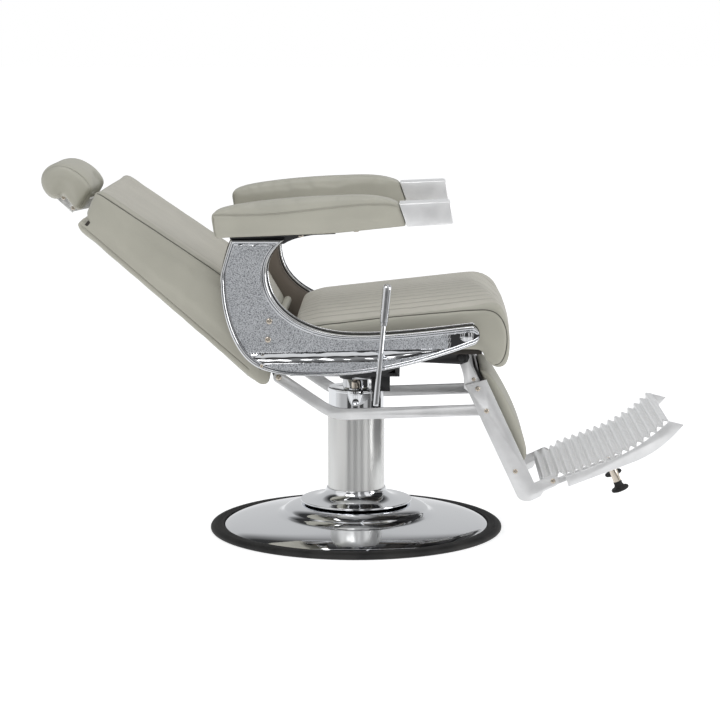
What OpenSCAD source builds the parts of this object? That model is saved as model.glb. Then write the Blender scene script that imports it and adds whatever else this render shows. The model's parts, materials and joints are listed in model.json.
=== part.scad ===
// Hydraulic barber chair, stored fully reclined with the leg rest raised.
// X runs forward, Y to the sitter's left and Z up; the origin is on the floor under the column.

/* [Base] */
// Outer diameter of the rubber ring that stands on the floor
base_d = 670; // [650:2:700]
// Height of the rubber ring
ring_h = 15; // [14:0.5:17]
// Diameter of the chrome base cover
cover_d = 606; // [600:2:612]
// Outer diameter of the fixed lower sleeve
sleeve_d = 130; // [129:0.2:131]
// Height of the top edge of the fixed lower sleeve
sleeve_top = 268; // [262:1:270]
// Diameter of the lift ram
ram_d = 60; // [56:1:62]

/* [Seat] */
// Height of the lift's top cap above the floor
cap_top = 330; // [326:1:332]
// Width of the seat cushion
seat_w = 516; // [500:2:520]
// Width over the two chrome side panels
panel_span = 636; // [634:1:640]
// Width of one armrest pad
pad_w = 80; // [72:1:84]
// Thickness of the black steel plates
steel_t = 8; // [6:1:8]

/* [Back and headrest] */
// Width of the back cushion
back_w = 524; // [510:2:526]
// Width of the headrest cushion
head_w = 260; // [220:5:300]
// Distance between the headrest's two bars
bar_gap = 100; // [90:2:104]

/* [Leg rest] */
// Width over the leg rest's side plates
leg_w = 342; // [340:1:344]
// Slope of the side plates below the horizontal
leg_angle = 65; // [64:0.5:66]
// Width of one side plate, seen from the side
plate_w = 48; // [44:1:50]
// Thickness of the side plates and the link bars
plate_t = 6; // [5:0.5:6]

/* [Footplate] */
// Width of the ribbed deck
deck_w = 378; // [370:2:384]
// Slope of the deck above the horizontal
deck_angle = 21.5; // [20:0.5:23]
// Number of ridges on the deck
ridges = 17; // [15:1:17]
// Distance from one ridge to the next
ridge_pitch = 18.8; // [18:0.1:18.8]

/* [Hand lever] */
// Distance of the lever from the chair's middle plane
lever_y = 335; // [330:1:340]
// Diameter of the lever's bar
lever_d = 11; // [9:0.5:12]
// Diameter of the grip
grip_d = 20; // [18:0.5:22]

/* [Hidden] */
$fn = 96;

run = 0.05;    // radial clearance of a running fit
slip = 0.3;    // clearance between parts that never carry load on each other

chrome = [0.82, 0.83, 0.85];
satin = [0.72, 0.73, 0.74];
black = [0.09, 0.09, 0.09];
greige = [0.67, 0.66, 0.61];
nickel = [0.78, 0.74, 0.66];
etched = [0.6, 0.62, 0.65];
iron = [0.25, 0.25, 0.26];
bronze = [0.7, 0.5, 0.25];
wood = [0.72, 0.56, 0.36];

// Pivots in the side view, as [x, z]
back_pivot = [-175, 436];
leg_pivot = [236, 424];
link_rear = [-169, 373.7];
link_front = [293, 302];
foot_pivot = [442, 144.5];
lever_pivot = [50, 347];
head_pivot = [-634, 742];

// ---------- helpers ----------

// Points on a cubic curve that starts at a, leaves towards b, arrives from c and ends before d
function curve(a, b, c, d, n = 10) = [for (i = [0 : n - 1]) let (t = i / n, s = 1 - t)
    s * s * s * a + 3 * s * s * t * b + 3 * s * t * t * c + t * t * t * d];

function unit(v) = v / norm(v);

// Left-hand normal of an open path at its point i
function path_normal(p, i) = let (d = unit(p[min(i + 1, len(p) - 1)] - p[max(i - 1, 0)])) [-d[1], d[0]];

// The same path moved sideways by d, to the left of its direction
function inset(p, d) = [for (i = [0 : len(p) - 1]) p[i] + d * path_normal(p, i)];

// Outline of a strip of width w along an open path
function strip(p, w) = concat([for (i = [0 : len(p) - 1]) p[i] + w / 2 * path_normal(p, i)],
    [for (i = [len(p) - 1 : -1 : 0]) p[i] - w / 2 * path_normal(p, i)]);

// A side-view outline (x, z) given thickness from y0 to y1
module slab(points, y0, y1) {
    translate([0, y1, 0]) rotate([90, 0, 0]) linear_extrude(y1 - y0) polygon(points);
}

// A round pin along Y at the side-view point p
module pin(p, r, y0, y1) {
    translate([p[0], y0, p[1]]) rotate([-90, 0, 0]) cylinder(h = y1 - y0, r = r);
}

// A ring or disc around the column
module disc(r, z0, z1) translate([0, 0, z0]) cylinder(h = z1 - z0, r = r);

module tube(r_out, r_in, z0, z1) {
    difference() {
        disc(r_out, z0, z1);
        disc(r_in, z0 - 1, z1 + 1);
    }
}

// The part on the right (-Y) and its mirror image on the left
module both_sides() {
    children();
    mirror([0, 1, 0]) children();
}

// A pan-head screw at p on a face at y, its head towards -Y
module side_screw(p, y, head_r = 6.5) {
    translate([p[0], y, p[1]]) rotate([90, 0, 0]) pan_head(head_r);
}

module pan_head(head_r) {
    head_h = head_r * 0.55;
    difference() {
        rotate_extrude() polygon(concat([[0, 0], [head_r, 0]],
            curve([head_r, head_h * 0.35], [head_r * 0.95, head_h * 0.8], [head_r * 0.7, head_h],
                [0, head_h]), [[0, head_h]]));
        for (a = [0, 90]) rotate(a) translate([-head_r * 0.5, -0.7, head_h * 0.5])
            cube([head_r, 1.4, head_h]);
    }
}

// ---------- base ----------

ring_in = cover_d / 2 - 4;
base_r = base_d / 2;
sleeve_r = sleeve_d / 2;
ram_r = ram_d / 2;
flange_top = 24;      // top of the cylinder's foot flange
cylinder_top = 250;
guide_top = 262;
cylinder_r = 48;
piston_r = 34;
bolt_circle = 78;

module rubber_ring() {
    edge = base_r - 4;
    step = ring_h - 6;        // the cover's rim rests on this ledge
    color(black) rotate_extrude($fn = 144) polygon(concat(
        [[ring_in, 0], [edge, 0]],
        curve([edge, 0], [base_r, 1.5], [base_r, 4], [base_r, 6]),
        curve([base_r, 6], [base_r, 11], [base_r - 8, ring_h], [base_r - 20, ring_h]),
        [[base_r - 20, ring_h], [cover_d / 2 + 2, ring_h - 2], [cover_d / 2 + slip, step], [ring_in, step]]));
}

module base_plate() {
    color(iron) difference() {
        union() {
            disc(ring_in - slip, 0, 8);
            disc(110, 0, 12);
        }
        for (a = [0 : 60 : 300]) rotate(a) translate([bolt_circle, 0, 3]) cylinder(h = 12, r = 5);
    }
}

// The cover's outer line, from its rim up the stepped dome to the collar
function cover_line() = concat(
    curve([cover_d / 2, ring_h - 3.6], [285, 22], [240, 30], [186, 36]),
    curve([186, 36], [176, 38], [171, 42], [165, 47]),
    curve([165, 47], [150, 57], [110, 62], [66, 63]), [[66, 63]]);

module base_cover() {
    wall = 2;
    line = cover_line();
    color(chrome) rotate_extrude($fn = 144) polygon(concat(line,
        [for (i = [len(line) - 1 : -1 : 0]) line[i] + wall * path_normal(line, i)]));
}

module column_collar() {
    bore_r = sleeve_r + slip;
    color(chrome) rotate_extrude($fn = 120) polygon(concat(
        [[bore_r, 64], [122, 64]],
        curve([122, 64], [127, 64.5], [129, 67], [127.5, 69.5], 5),
        curve([127.5, 69.5], [96, 71.5], [72, 74], [68, 97]), [[68, 97], [bore_r, 97]]));
}

module lower_sleeve() {
    color(satin) tube(sleeve_r, sleeve_r - 1.4, flange_top, sleeve_top);
}

module pump_cylinder() {
    color(iron) difference() {
        union() {
            disc(sleeve_r + 36, 12, flange_top);
            disc(cylinder_r, 12, cylinder_top);
        }
        disc(piston_r, 30, cylinder_top + 1);
        for (a = [0 : 60 : 300]) rotate(a) translate([bolt_circle, 0, 11]) cylinder(h = 14, r = 5);
    }
}

module cylinder_bolts() {
    color(nickel) for (a = [0 : 60 : 300]) rotate(a) translate([bolt_circle, 0, 0]) {
        translate([0, 0, 3.5]) cylinder(h = flange_top - 3.5 + 1, r = 4.8);
        translate([0, 0, flange_top]) cylinder(h = 6, r = 8.5, $fn = 6);
    }
}

// ---------- lift ----------

module swivel_guide() {
    color(bronze) difference() {
        union() {
            disc(cylinder_r, cylinder_top, guide_top);
            disc(piston_r - run, cylinder_top - 15, cylinder_top + 1);
        }
        disc(ram_r + run, cylinder_top - 16, guide_top + 1);
    }
}

module ram() {
    color(chrome) union() {
        disc(piston_r - run, 44, 64);
        disc(ram_r, 60, cap_top + 50);
    }
}

skirt_r = sleeve_r - 1.8;     // outer radius of the rising sleeve
plunger_at = [0, -46];

module upper_sleeve() {
    color(chrome) union() {
        tube(skirt_r, skirt_r - 2, 80, cap_top - 8);
        intersection() {
            translate([0, -skirt_r, cap_top - 33]) cylinder(h = 25, r1 = 9, r2 = 18.5, $fn = 64);
            difference() {
                translate([-30, -100, cap_top - 40]) cube([60, 60, 40]);
                disc(skirt_r - 1, cap_top - 50, cap_top);
            }
        }
    }
}

module top_cap() {
    rim = skirt_r + 1;
    color(chrome) difference() {
        union() {
            rotate_extrude() polygon(concat([[0, cap_top - 8], [rim, cap_top - 8]],
                curve([rim, cap_top - 3], [rim, cap_top - 1], [rim - 1, cap_top],
                    [rim - 3, cap_top], 4), [[rim - 3, cap_top], [0, cap_top]]));
            translate([0, -skirt_r, cap_top - 8]) cylinder(h = 8, r = 18.5);
            translate([plunger_at[0], plunger_at[1], cap_top]) cylinder(h = 3, r = 15);
        }
        disc(ram_r + run, cap_top - 9, cap_top + 4);
        translate([plunger_at[0], plunger_at[1], cap_top - 9]) cylinder(h = 14, r = 9 + run);
    }
}

module mount_flange() {
    color(black) difference() {
        union() {
            translate([-100, -64, cap_top + 42]) cube([200, 128, 8]);
            disc(ram_r + 8, cap_top + 20, cap_top + 43);
        }
        disc(ram_r + run, cap_top + 10, cap_top + 60);
    }
}

// ---------- seat frame ----------

frame_z = cap_top + 50;       // underside of the seat frame
pan_z = 438;                  // underside of the seat board
cheek_y = leg_w / 2 + 7;      // inner face of the frame's cheeks
arm_plate_in = panel_span / 2 - 30;     // inner face of the arm frames
seat_arm_x = 60;              // half length of the seat frame's arms
seat_arm_z = 424;             // underside of the seat frame's arms

module seat_frame() {
    color(black) difference() {
        union() {
            both_sides() {
                slab([[-142, frame_z + 2], [60, frame_z + 2], [122, 414], [236, 409], [250, 414],
                    [254, 424], [250, pan_z], [-142, pan_z]], -cheek_y - steel_t, -cheek_y);
            }
            translate([-100, -cheek_y - 1, frame_z]) cube([200, 2 * cheek_y + 2, steel_t]);
            for (x = [-100, 90]) translate([x, -cheek_y - 1, frame_z])
                cube([10, 2 * cheek_y + 2, pan_z - frame_z]);
            translate([195, -cheek_y - 1, 416]) cube([12, 2 * cheek_y + 2, pan_z - 416]);
            for (y = [-200, 160]) translate([-138, y, pan_z - steel_t]) cube([40, 40, steel_t]);
            both_sides() translate([-seat_arm_x, -arm_plate_in, seat_arm_z])
                cube([2 * seat_arm_x, arm_plate_in - cheek_y, pan_z - seat_arm_z]);
        }
        pin(leg_pivot, 8 + run, -cheek_y - 20, cheek_y + 20);
    }
}

module seat_pan() {
    color(wood) translate([-112, -232, pan_z]) cube([392, 464, 12]);
}

// Side view of the seat cushion at its crown
function seat_outline() = concat(
    [[-110, pan_z + 12 + slip], [-116, 478]],
    curve([-116, 492], [-124, 495], [-130, 500], [-129.5, 512], 6),
    curve([-129.5, 512], [-124, 530], [-100, 544], [-60, 553], 8),
    curve([-60, 553], [20, 569], [120, 576], [240, 580], 8),
    curve([240, 580], [292, 583], [312, 560], [328, 537], 8),
    curve([328, 537], [343, 505], [344, 460], [336, 424], 8),
    curve([336, 424], [331, 408], [312, 406], [302, 413], 6),
    [[286, 428], [284, pan_z + 12 + slip]]);

crown_at = [240, 580];        // highest line of the seat's crown
crown_slope = 6.4;            // the crown falls towards the back
crown_drop = 46;              // fall of the crown at the cushion's sides

// Front view of the seat cushion below its crown: y across, z up
function seat_front(h) = concat([for (i = [-10 : 10]) [h * i / 10, -crown_drop * pow(abs(i) / 10, 2.5)]],
    [[h, -250], [-h, -250]]);

module seat_cushion() {
    h = seat_w / 2;
    color(greige) intersection() {
        slab(seat_outline(), -h, h);
        translate([crown_at[0], 0, crown_at[1]]) rotate([0, -crown_slope, 0]) translate([-420, 0, 0])
            rotate([90, 0, 90]) linear_extrude(600) polygon(seat_front(h));
    }
}

// ---------- side panels and arms ----------

panel_y = panel_span / 2;

// The C shape of the side panel, walked from its top rear corner with its inside to the left
function panel_outline() = concat(
    [[-261, 697]],
    curve([-268, 680], [-280, 640], [-284, 622], [-284, 600], 6),
    curve([-284, 600], [-284, 540], [-262, 465], [-225, 433], 10),
    curve([-225, 433], [-200, 410], [-160, 404], [-120, 402], 8),
    curve([-120, 402], [40, 396], [150, 430], [262, 471], 14),
    curve([262, 471], [274, 478], [275, 504], [258, 511], 6),
    curve([258, 511], [180, 502], [80, 488], [0, 490], 12),
    curve([0, 490], [-100, 491], [-180, 540], [-186, 615], 12),
    curve([-186, 615], [-190, 652], [-170, 678], [-147, 696], 8),
    [[-147, 696]]);

module panel_right() {
    outline = panel_outline();
    color(chrome) difference() {
        slab(outline, -panel_y, -panel_y + 20);
        intersection() {
            slab(inset(outline, 8), -panel_y - 1, -panel_y + 4);
            slab(field_region(0), -panel_y - 2, -panel_y + 5);
        }
        intersection() {
            slab(inset(outline, 8), -panel_y - 1, -panel_y + 4);
            slab(strip_region(0), -panel_y - 2, -panel_y + 5);
        }
    }
}

// The region of the upper textured field and of the lower strip, drawn in by d
function field_region(d) = [[-300, 688 - d], [-300, 449 + d], [206 - d, 463 + d], [206 - d, 530],
    [100, 530], [0, 688 - d]];
function strip_region(d) = [[-188 + d, 380], [-188 + d, 430 - d], [100, 433 - d], [190 - d, 456],
    [190 - d, 380]];

module inlays_right() {
    outline = panel_outline();
    color(etched) for (region = [field_region(0.5), strip_region(0.5)]) intersection() {
        slab(inset(outline, 8.5), -panel_y + 1.5, -panel_y + 4);
        slab(region, -panel_y, -panel_y + 5);
    }
}

shelf_top = [[-263, 702], [-37, 711.7]];

module arm_frame_right_shape() {
    y0 = -panel_y + 20 + slip;
    color(black) union() {
        difference() {
            union() {
                slab(inset(panel_outline(), -2), y0, -arm_plate_in);
                slab(concat([[-263, 680], shelf_top[0], shelf_top[1], [-37, 710]],
                    curve([-60, 707.5], [-105, 704], [-138, 697], [-156, 680], 8)), y0, -arm_plate_in);
            }
            pin(back_pivot, 8 + slip, y0 - 1, -arm_plate_in + 1);
        }
        // the shelf that carries the arm pad
        slab([shelf_top[0] - [0, 3], shelf_top[0], shelf_top[1], shelf_top[1] - [0, 1.7]], -panel_y - 8,
            -arm_plate_in + 10);
    }
}

module side_pad_right_shape() {
    y0 = -arm_plate_in + slip;
    color(greige) difference() {
        slab(inset(panel_outline(), 3), y0, -seat_w / 2 - 12);
        pin(back_pivot, 8 + slip, y0 - 1, -seat_w / 2);
        translate([-302, y0 - 1, 690]) cube([300, 40, 40]);
        translate([-seat_arm_x - slip, y0 - 1, seat_arm_z - slip])
            cube([2 * (seat_arm_x + slip), 40, pan_z - seat_arm_z + 2 * slip]);
    }
}

arm_mid = panel_y - 13;       // middle of the arm pad across the chair
arm_top = curve([-303, 753], [-274, 768], [-150, 785], [-20, 788], 12);

module arm_pad_right_shape() {
    color(greige) slab(concat([[-295, 701]], arm_top,
        curve([-20, 788], [40, 791], [85, 786], [98, 775.5], 8),
        [[98, 775.5], [115, 728], [-37, 712]]), -arm_mid - pad_w / 2, -arm_mid + pad_w / 2);
}

module arm_cap_right_shape() {
    y0 = -arm_mid - pad_w / 2 - 1;
    y1 = -arm_mid + pad_w / 2 + 1;
    color(chrome) slab([[98.5, 776.5], [204, 781], [207.5, 778], [214.5, 737], [212, 734],
        [115.5, 728]], y0, y1);
}

module trim_screws() {
    color(nickel) both_sides() {
        for (p = [[-180, 521], [-183, 481]]) side_screw(p, -panel_y + 1.5);
        side_screw([-197, 424], -panel_y, 3.5);
        // one under the arm's shelf and one under its pad, each with the slope of its face
        for (p = [[-112, 705.2, 3.1], [7, 716.4, 6]]) translate([p[0], -panel_y + 12, p[1]])
            rotate([180, -p[2], 0]) pan_head(6.5);
    }
}

// ---------- hand lever ----------

module lever_bracket() {
    color(black) difference() {
        translate([36, -92, 333]) cube([42, 26, frame_z - 333]);
        pin(lever_pivot, lever_d / 2 + 0.5 + run, -100, -60);
    }
}

module lever_bar() {
    shaft_r = lever_d / 2 + 0.5;
    tip = [74, 603];
    lean = atan2(tip[0] - lever_pivot[0], tip[1] - lever_pivot[1]);
    grip_start = 168;
    color(chrome) union() {
        pin(lever_pivot, shaft_r, -lever_y, -38);
        // upright
        translate([lever_pivot[0], -lever_y, lever_pivot[1]]) rotate([0, lean, 0]) {
            translate([0, 0, -6]) cylinder(h = 60, r1 = shaft_r, r2 = lever_d / 2);
            translate([0, 0, 50]) cylinder(h = grip_start - 50, r = lever_d / 2);
            cylinder(h = grip_start + 70, r = 4);
        }
        // finger over the pump plunger
        slab([[-8, cap_top + 23.8], [30, cap_top + 23.8], [46, 342], [54, 342], [52, 353],
            [34, cap_top + 29], [-8, cap_top + 29]], -52, -40);
    }
}

module lever_grip() {
    lean = atan2(24, 256);
    r = grip_d / 2;
    color(chrome) translate([lever_pivot[0], -lever_y, lever_pivot[1]]) rotate([0, lean, 0])
        difference() {
            rotate_extrude() polygon(concat([[0, 168.3], [r - 3, 168.3], [r, 172]],
                curve([r, 246], [r, 254], [r - 4, 258], [0, 258.5], 8), [[0, 258.5]]));
            cylinder(h = 238.5, r = 4 + slip / 2);
        }
}

module pump_plunger() {
    color(nickel) translate([plunger_at[0], plunger_at[1], 0]) rotate_extrude() polygon(concat(
        [[0, cap_top - 30], [9, cap_top - 30], [9, cap_top + 14]],
        curve([9, cap_top + 14], [9, cap_top + 20], [5, cap_top + 23.5], [0, cap_top + 23.5], 8),
        [[0, cap_top + 23.5]]));
}

// ---------- hinges on the seat ----------

module back_hinge_bolts() {
    color(nickel) both_sides() {
        pin(back_pivot, 8, -panel_y + 20 + slip, -back_w / 2 - 1.5);
    }
}

module leg_axle() {
    color(nickel) pin(leg_pivot, 8, -cheek_y - steel_t - 4, cheek_y + steel_t + 4);
}

// ---------- back ----------

back_slope = 41;
back_foot = [-222, 398];      // lower end of the back's rear face
back_len = 495;

// A point of the back: a along its rear face from the foot, b in towards the front
function back_point(a, b) = back_foot + a * [-cos(back_slope), sin(back_slope)]
    + b * [sin(back_slope), cos(back_slope)];

cover_t = 9;
board_t = 12;
board_b = cover_t + board_t + 2 * slip;

module back_cover() {
    color(greige) slab([back_point(6, -11), back_point(back_len - 3, -7), back_point(back_len + 7, 0),
        back_point(back_len + 7, cover_t), back_point(6, cover_t)], -back_w / 2, back_w / 2);
}

module back_board() {
    b0 = cover_t + slip;
    color(wood) slab([back_point(8, b0), back_point(back_len - 10, b0),
        back_point(back_len - 10, b0 + board_t), back_point(8, b0 + board_t)],
        -back_w / 2 + 4, back_w / 2 - 4);
}

function back_outline() = concat(
    [back_point(4, board_b), back_point(back_len + 2, board_b), back_point(back_len + 3, board_b + 16)],
    curve([-564, 786], [-562, 796], [-555, 799], [-540, 789], 5),
    curve([-540, 789], [-440, 723], [-330, 651], [-232, 582], 8),
    curve([-232, 582], [-222, 575], [-214, 566], [-206, 550], 5),
    [[-206, 550], [-180, 503], [-166, 452], [-187, 410]],
    curve([-185, 388], [-184, 368], [-197, 363], [-216, 377], 6), [back_point(5, -11), back_point(5, 0)]);

module back_cushion() {
    color(greige) difference() {
        slab(back_outline(), -back_w / 2, back_w / 2);
        both_sides() {
            headrest_box(guide_b - slip, guide_h + 2 * slip, guide_w + 2 * slip, 315, back_len + 20);
            translate([-190, -160, 360]) cube([60, 24, 76]);
        }
    }
}

module back_roll() {
    color(greige) pin([-167.5, 499], 10, -back_w / 2 + 20, back_w / 2 - 20);
}

module back_hinge_plates() {
    color(black) both_sides() difference() {
        slab([[-236, 446], [-204, 408], [-170, 415], [-156, 430], [-158, 448], [-172, 456],
            [-196, 490], [-222, 486]], -back_w / 2 - 5.5, -back_w / 2 - slip);
        pin(back_pivot, 8 + run, -back_w / 2 - 8, -back_w / 2 + 1);
    }
}

bracket_y = 150;

module link_brackets() {
    color(black) both_sides() difference() {
        slab([[-180.5, 370], [-176, 363], [-168, 361], [-160, 364], [-156, 372], [-159, 434], [-189.5, 434],
            [-188, 400]], -bracket_y, -bracket_y + 6);
        pin(link_rear, 5 + run, -bracket_y - 1, -bracket_y + 7);
    }
}

// ---------- headrest ----------

guide_b = board_b + slip;
guide_h = 18;
guide_w = 14;
stem_end = back_len + 52;

// A box along the headrest's slide on one bar: from b up h, across w, along a0 to a1
module headrest_box(b, h, w, a0, a1) {
    slab([back_point(a0, b), back_point(a1, b), back_point(a1, b + h), back_point(a0, b + h)],
        -bar_gap / 2 - w / 2, -bar_gap / 2 + w / 2);
}

module headrest_guides() {
    color(satin) both_sides() difference() {
        headrest_box(guide_b, guide_h, guide_w, 316, back_len - 3);
        headrest_box(guide_b + 2, guide_h - 4, guide_w - 4, 310, back_len);
    }
}

module headrest_stem() {
    b = guide_b + 2 + slip;
    h = guide_h - 4 - 2 * slip;
    w = guide_w - 4 - 2 * slip;
    color(satin) difference() {
        union() {
            both_sides() {
                headrest_box(b, h, w, 330, back_len + 16);
                slab([back_point(back_len + 6, b + h), back_point(back_len + 6, b),
                    head_pivot + [9, -6], head_pivot + [-6, -9], head_pivot + [-9, 6],
                    back_point(back_len + 20, b + h)], -bar_gap / 2 - w / 2, -bar_gap / 2 + w / 2);
            }
            slab([back_point(back_len + 7, b), back_point(back_len + 15, b),
                back_point(back_len + 15, b + h), back_point(back_len + 7, b + h)],
                -bar_gap / 2, bar_gap / 2);
        }
        pin(head_pivot, 3.5 + run, -bar_gap, bar_gap);
    }
}

head_y = bar_gap / 2 + guide_w / 2;      // inner face of the headrest plate's cheeks

module headrest_plate() {
    color(satin) union() {
        both_sides() difference() {
            slab([[-659, 776], [-670, 763], [-636, 731], [-624, 742]], -head_y - 2.5, -head_y);
            pin(head_pivot, 3.5 + slip, -head_y - 4, -head_y + 1);
        }
        slab([[-659, 776], [-661, 773.6], [-651, 765], [-649, 767.5]], -head_y, head_y);
    }
}

function head_outline() = concat(
    curve([-654, 780], [-656, 764], [-672, 758], [-688, 773], 6),
    curve([-688, 773], [-706, 785], [-711, 811], [-697, 828], 6),
    curve([-697, 828], [-682, 846], [-655, 850], [-632, 838], 8),
    curve([-632, 838], [-608, 826], [-588, 808], [-579, 791], 8),
    curve([-579, 791], [-576, 785], [-579, 780], [-586, 774], 4),
    [[-586, 774], [-611, 738], [-618, 737]]);

module headrest_cushion() {
    color(greige) difference() {
        slab(head_outline(), -head_w / 2, head_w / 2);
        slab([[-669, 785], [-690, 755], [-630, 700], [-585, 735], [-585, 770]],
            -head_y - 3, head_y + 3);
    }
}

module headrest_screws() {
    color(nickel) both_sides() {
        pin(head_pivot, 3.5, -head_y - 2.5, -bar_gap / 2 + 8);
        for (p = [head_pivot, [-655, 765]]) side_screw(p, -head_y - 2.5, 4.5);
    }
}

// ---------- leg rest ----------

// Leg-rest frame: s runs down the side plates from the hinge, t forward at right angles
module on_leg() {
    translate([leg_pivot[0], 0, leg_pivot[1]]) rotate([0, leg_angle, 0]) children();
}

plate_y = leg_w / 2;
plate_back = -19;
plate_foot = 358;
foot_s = 340.3;
foot_t = 68.5;

function leg_plate_outline() = concat(
    [[62, plate_back], [70, plate_back + plate_w], [foot_s - 13, plate_back + plate_w],
        [foot_s - 13, foot_t - 2]],
    [for (a = [0 : 15 : 180]) [foot_s - 13 * cos(a), foot_t + 13 * sin(a)]],
    [[foot_s + 13, 40], [plate_foot + 3, plate_back + plate_w]],
    curve([plate_foot + 3, 8], [plate_foot + 2, -8], [plate_foot - 8, plate_back],
        [plate_foot - 26, plate_back], 8));

module leg_plate() {
    color(satin) difference() {
        on_leg() slab(leg_plate_outline(), -plate_y, -plate_y + plate_t);
        pin(link_front, 4, -plate_y - 1, -plate_y + plate_t + 1);
        pin(foot_pivot, 4, -plate_y - 1, -plate_y + plate_t + 1);
    }
}

strap_y = plate_y - plate_t - slip;

module leg_straps() {
    color(chrome) both_sides() difference() {
        union() {
            pin(leg_pivot, 13.5, -strap_y, -strap_y + 5);
            slab(concat(curve([223, 428], [231, 408], [245, 390], [243, 352], 8),
                [[243, 352], [256, 342], [279, 352], [272, 378]],
                curve([272, 378], [262, 392], [256, 408], [249, 424], 8), [[249, 424]]),
                -strap_y, -strap_y + 5);
        }
        pin(leg_pivot, 8 + run, -strap_y - 1, -strap_y + 6);
    }
}

module leg_cross_bars() {
    w = 2 * (plate_y - plate_t);
    color(black) on_leg() for (s = [196, 296]) translate([s, -w / 2, -8]) cube([22, w, 22]);
}

module calf_board() {
    color(black) on_leg() slab([[34, 14.3], [280, 14.3], [280, 20], [34, 20]], -144, 144);
}

module calf_cushion() {
    color(greige) on_leg() slab(concat(
        [[280, 20 + slip], [44, 20 + slip]],
        curve([44, 20 + slip], [46, 33], [66, 39], [96, 43], 8),
        curve([96, 43], [150, 50], [216, 52], [262, 40], 8),
        curve([262, 40], [276, 36], [284, 30], [280, 20 + slip], 6)), -147, 147);
}

module leg_screws() {
    color(nickel) {
        both_sides() {
            pin(link_front, 4 - run, -plate_y, -bracket_y + 4);
            pin(foot_pivot, 4 - run, -plate_y, -plate_y + 16);
            for (p = [link_front, foot_pivot, [273, 352], [358, 166]]) side_screw(p, -plate_y, 5.5);
            side_screw([264, 372], -strap_y, 4.5);
        }
    }
}

// ---------- links from the back to the leg rest ----------

link_y = bracket_y + 0.6;
bar_w = 25;
eye_r = 9;         // oversize eye at the front, where the loop of the linkage is left open

module link_bar() {
    bend = [-46, 290];
    fore = unit(link_front - bend);
    aft = unit(link_rear - bend);
    path = concat([link_rear], curve(bend + 34 * aft, bend + 10 * aft, bend + 10 * fore,
        bend + 34 * fore, 8), [bend + 34 * fore, link_front]);
    color(satin) difference() {
        union() {
            slab(strip(path, bar_w), -link_y - plate_t, -link_y);
            for (p = [link_rear, link_front]) pin(p, bar_w / 2, -link_y - plate_t, -link_y);
        }
        pin(link_rear, 5 + run, -link_y - 20, -link_y + 1);
        pin(link_front, eye_r, -link_y - 20, -link_y + 1);
    }
}

module link_bolts() {
    color(nickel) both_sides() {
        pin(link_rear, 5, -link_y - plate_t, -bracket_y + 6);
        side_screw(link_rear, -link_y - plate_t, 6.5);
    }
}

// ---------- footplate ----------

// Deck frame: the first number runs forward along the deck from its hinge, the second up from it
module on_deck() {
    translate([foot_pivot[0], 0, foot_pivot[1]]) rotate([0, -deck_angle, 0]) children();
}

flat_len = 130;        // straight stretch of the deck before it curls up
curl_r = 370;
deck_start = -27;
deck_end = deck_start + ridges * ridge_pitch;

// The point at height h over the deck's line, l along it
function deck_point(l, h) = l < flat_len ? [l, h]
    : let (a = (l - flat_len) / curl_r * 180 / PI)
        [flat_len + (curl_r - h) * sin(a), curl_r - (curl_r - h) * cos(a)];

// Height of the ridged surface
function ridge(l) = 5 + 4.6 * (1 - cos(360 * (l - deck_start) / ridge_pitch));

function deck_lengths(a, b) = [for (i = [0 : round((b - a) / ridge_pitch * 6)])
    a + i * ridge_pitch / 6];

function deck_sheet(a, b) = let (l = deck_lengths(a, b), t = 2.6)
    concat([for (p = l) deck_point(p, ridge(p))],
        [for (i = [len(l) - 1 : -1 : 0]) deck_point(l[i], ridge(l[i]) - t)]);

wide_from = deck_start + 3 * ridge_pitch;

module footplate_deck() {
    color(satin) on_deck() union() {
        slab(deck_sheet(deck_start, wide_from + ridge_pitch), -plate_y + 13, plate_y - 13);
        slab(deck_sheet(wide_from, deck_end), -deck_w / 2, deck_w / 2);
    }
}

module footplate_flanges() {
    top = [for (i = [0 : 12]) let (l = wide_from + 1 + (deck_end - wide_from - 1) * i / 12) deck_point(l, 2)];
    color(satin) both_sides() on_deck() slab(concat(
        [for (i = [12 : -1 : 0]) top[i]],
        [[wide_from - 2, -21], [190, -21.5]],
        curve([190, -21.5], [240, -19], [275, -4], [deck_end + 22, 17], 8), [[deck_end + 22, 17]]),
        -deck_w / 2, -deck_w / 2 + 5);
}

module footplate_ribs() {
    y1 = -plate_y + plate_t + 5.5;
    color(satin) both_sides() difference() {
        on_deck() slab([[-22, 2], [-22, -8], [-6, -12], [150, -12], [166, 2]], y1 - 5, y1);
        pin(foot_pivot, 4, y1 - 6, y1 + 1);
    }
}

bumper_l = 134;
bumper_y = 90;

module bumper_posts() {
    color(nickel) both_sides() on_deck() translate([bumper_l, -bumper_y, -70]) {
        cylinder(h = 72, r = 9);
    }
}

module bumper_feet() {
    color(black) both_sides() on_deck() translate([bumper_l, -bumper_y, -92]) rotate_extrude()
        polygon(concat([[0, 0], [16, 0]],
            curve([16, 0], [22, 1], [22, 8], [15, 9], 6),
            curve([15, 9], [9, 11], [9, 16], [10, 22], 6), [[10, 22], [0, 22]]));
}

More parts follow.
